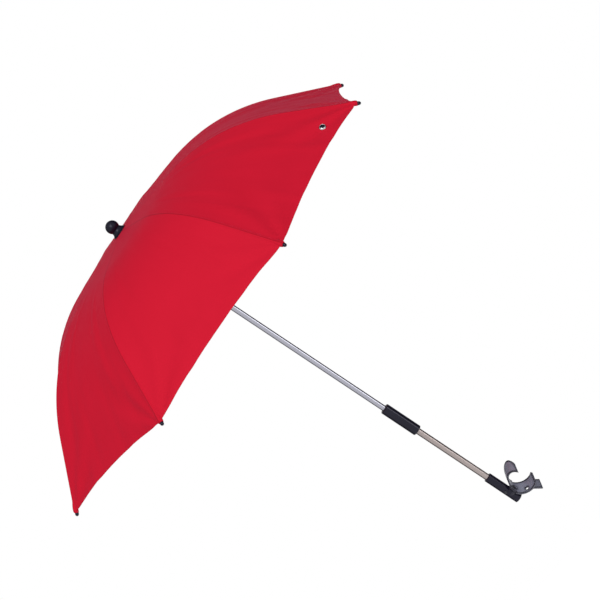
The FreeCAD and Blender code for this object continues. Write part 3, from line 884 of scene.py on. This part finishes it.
def spin(name, profile, turns):
    points = []
    for radius, height in profile:
        angles = [2 * pi * k / turns for k in range(turns)]
        points += [Vector((radius * cos(angle), radius * sin(angle), height)) for angle in angles]
    faces = []
    for i in range(len(profile) - 1):
        for k in range(turns):
            here, after = i * turns + k, i * turns + (k + 1) % turns
            faces.append((here, here + turns, after + turns, after))
    mesh = bpy.data.meshes.new(name)
    mesh.from_pydata(points, [], faces)
    mesh.shade_smooth()
    mesh.set_sharp_from_angle(angle=SHARP_ANGLE)
    piece = bpy.data.objects.new(name, mesh)
    bpy.context.scene.collection.objects.link(piece)
    return piece


def make_stud():
    station = CLOTH_END - STUD_FROM_HEM
    share = STUD_OFFSET / (station * sin(HALF_STEP))
    along = (station - PANEL_START) / (hem_station(share) - PANEL_START)
    normal = cloth_normal(along, share, STUD_SIDE, STUD_RIB)
    seat = cloth_point(along, share, STUD_SIDE, STUD_RIB) + CLOTH_DEPTH * normal
    profile = [(radius / MM_PER_M, height / MM_PER_M) for radius, height in STUD_PROFILE]
    stud = spin("press_stud_turned", profile, STUD_TURNS)
    stud.data.materials.append(bright_metal)
    stud.data.materials.append(gloss_black)
    # Painted shade: the faces in the well take the black finish.
    for face in stud.data.polygons:
        face.material_index = 1 if face.center.xy.length < STUD_SHADED_WELL / MM_PER_M else 0
    tilt = normal.to_track_quat("Z", "Y").to_matrix().to_4x4()
    stud.data.transform(Matrix.Translation(place_on_rib(seat, STUD_RIB)) @ tilt)
    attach(stud, "rib_body_%d" % STUD_RIB)
    below = max(band for band in range(BANDS) if BAND_ENDS[band] <= along)
    fold_with_rib(stud, band_keep(below))
    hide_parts("press_stud")
    return below


stud_band = make_stud()
print("stud on band", stud_band + 1)

# %% [markdown]
# ## Rosette
# The rosette is the small round of cloth that the cap presses down on the crown. It is flat and hardly
# seen, so a ring of faces does. It takes its width and its level from the frame.

# %% Rosette
ROSETTE_HOLE = 0.45
ROSETTE_TURNS = 48


def make_rosette():
    low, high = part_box("canopy_rosette")
    outer = (high.x - low.x) / 2
    inner = outer * ROSETTE_HOLE
    level = (low.z + high.z) / 2
    profile = [(radius, level) for radius in (inner, (inner + outer) / 2, outer)]
    rosette = spin("cloth_rosette", profile, ROSETTE_TURNS)
    rosette.data.transform(Matrix.Translation((SHAFT_X, 0, 0)))
    rosette.data.uv_layers.new(name=CUT_MAP)
    rosette.data.materials.append(red_cloth)
    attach(rosette, "upper_shaft")
    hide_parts("canopy_rosette")
    return 2 * outer


rosette_width = make_rosette()
print("rosette", round(MM_PER_M * rosette_width, 1), "mm across")

# %% [markdown]
# ## Room
# A studio is bright in front, where the lamps stand, and dim behind. The dim side gives the tubes their
# dark edges. A picture of a real room could light the scene, but two smooth steps of brightness do it:
# one from the dim side to the bright one, and one that marks the white backdrop behind the parasol. The
# camera sees white all round. Rays that steel and plastic mirror see white where the backdrop stands, and
# the room elsewhere.

# %% Room
WHITE = (1.0, 1.0, 1.0, 1.0)
ROOM_BEHIND = 0.05
ROOM_FRONT = 0.77
ROOM_TOWARDS = 0.95 * CAMERA_BACK - 0.32 * CAMERA_RIGHT
ROOM_STEP = (-0.4, 0.65)
BACKDROP_STEP = (0.80, 0.90)


def seen_or_mirrored(holder, mirrored_share=1.0):
    path = add_node(holder, "ShaderNodeLightPath").outputs
    mirrored = maths(holder, "MAXIMUM", path["Is Glossy Ray"], path["Is Transmission Ray"])
    mirrored = maths(holder, "MULTIPLY", mirrored, mirrored_share)
    return maths(holder, "MAXIMUM", path["Is Camera Ray"], mirrored)


def step_towards(world, direction, step, levels):
    place = add_node(world, "ShaderNodeTexCoord").outputs["Generated"]
    facing = add_node(world, "ShaderNodeVectorMath", {0: place, 1: direction}, operation="DOT_PRODUCT")
    inputs = dict(enumerate((facing.outputs["Value"], *step, *levels)))
    return add_node(world, "ShaderNodeMapRange", inputs, interpolation_type="SMOOTHSTEP").outputs[0]


def make_room():
    world = bpy.data.worlds.new("studio_room")
    world.use_nodes = True
    bpy.context.scene.world = world
    level = step_towards(world, ROOM_TOWARDS, ROOM_STEP, (ROOM_BEHIND, ROOM_FRONT))
    backdrop = step_towards(world, -CAMERA_BACK, BACKDROP_STEP, (0.0, 1.0))
    room = world.node_tree.nodes["Background"]
    join(world, WHITE, room.inputs["Color"])
    join(world, level, room.inputs["Strength"])
    white = add_node(world, "ShaderNodeBackground", {"Color": WHITE})
    inputs = {0: seen_or_mirrored(world, backdrop), 1: room.outputs[0], 2: white.outputs[0]}
    mix = add_node(world, "ShaderNodeMixShader", inputs)
    join(world, mix.outputs[0], world.node_tree.nodes["World Output"].inputs["Surface"])


make_room()
print("room:", ROOM_FRONT, "in front,", ROOM_BEHIND, "behind")

# %% [markdown]
# ## Floor
# The floor lies as far below the clip as it does under a pram's handle, so the parasol can swing clear of
# it. It is diffuse and keeps the soft shadow. A brighter lamp could lift it to white, but it would wash
# out the cloth. So it has a little glow of its own, which only the camera and mirrored rays see.

# %% Floor
FLOOR_DROP = 0.8
FLOOR_SIZE = 4.4
FLOOR_PALE = (0.86, 0.86, 0.86, 1.0)
FLOOR_GLOW = (0.62, 0.62, 0.62, 1.0)
FLOOR_ROUGHNESS = 0.9


def floor_finish():
    finish, shader = start_finish("pale_floor", Roughness=FLOOR_ROUGHNESS, Base_Color=FLOOR_PALE)
    inputs = {"Color": FLOOR_GLOW, "Strength": seen_or_mirrored(finish)}
    glow = add_node(finish, "ShaderNodeEmission", inputs)
    total = add_node(finish, "ShaderNodeAddShader", {0: shader.outputs[0], 1: glow.outputs[0]})
    join(finish, total.outputs[0], finish.node_tree.nodes["Material Output"].inputs["Surface"])
    return finish


def make_floor():
    mesh = bpy.data.meshes.new("floor")
    half = FLOOR_SIZE / 2
    corners = [(x, y, -FLOOR_DROP) for x, y in ((-half, -half), (half, -half), (half, half), (-half, half))]
    mesh.from_pydata(corners, [], [(0, 1, 2, 3)])
    mesh.materials.append(floor_finish())
    floor = bpy.data.objects.new("floor", mesh)
    bpy.context.scene.collection.objects.link(floor)


make_floor()
print("floor", FLOOR_DROP, "m below the clip")

# %% [markdown]
# ## Lamps
# One large soft lamp, above and to the left of the camera, lights the cloth, so that each gore has its
# own tone. A weak second lamp stands nearly square to the shaft and draws the bright stripe along the
# tubes. Point lamps would give hard shadows, so both are round area lamps. The view transform is
# Standard, which shows a colour as it is written.

# %% Lamps
LAMP_DISTANCE = 3.4
LAMP_TOWARDS = 0.83 * CAMERA_BACK + 0.33 * CAMERA_UP - 0.45 * CAMERA_RIGHT
LAMP_POWER = 41.0
LAMP_SIZE = 1.8
STRIPE_TOWARDS = 0.55 * CAMERA_BACK + 0.54 * CAMERA_UP + 0.63 * CAMERA_RIGHT
STRIPE_POWER = 7.0
STRIPE_SIZE = 1.2


def make_lamp(name, direction, power, size):
    lamp = bpy.data.lights.new(name, "AREA")
    lamp.shape = "DISK"
    lamp.size = size
    lamp.energy = power
    stand = bpy.data.objects.new(name, lamp)
    middle = (cad_low + cad_high) / 2
    stand.location = middle + direction.normalized() * LAMP_DISTANCE
    stand.rotation_mode = "QUATERNION"
    stand.rotation_quaternion = direction.to_track_quat("Z", "Y")
    bpy.context.scene.collection.objects.link(stand)


make_lamp("key_lamp", LAMP_TOWARDS, LAMP_POWER, LAMP_SIZE)
make_lamp("stripe_lamp", STRIPE_TOWARDS, STRIPE_POWER, STRIPE_SIZE)
bpy.context.scene.view_settings.view_transform = "Standard"
print("lamps of", LAMP_POWER, "and", STRIPE_POWER, "W")

# %% [markdown]
# ## Size
# The dressed parasol may stand a little proud of the solids, as cloth does, but no more. The box of the solids is
# printed.

# %% Print the box of the solids
print("box of the solids", [round(v, 3) for v in cad_high - cad_low])
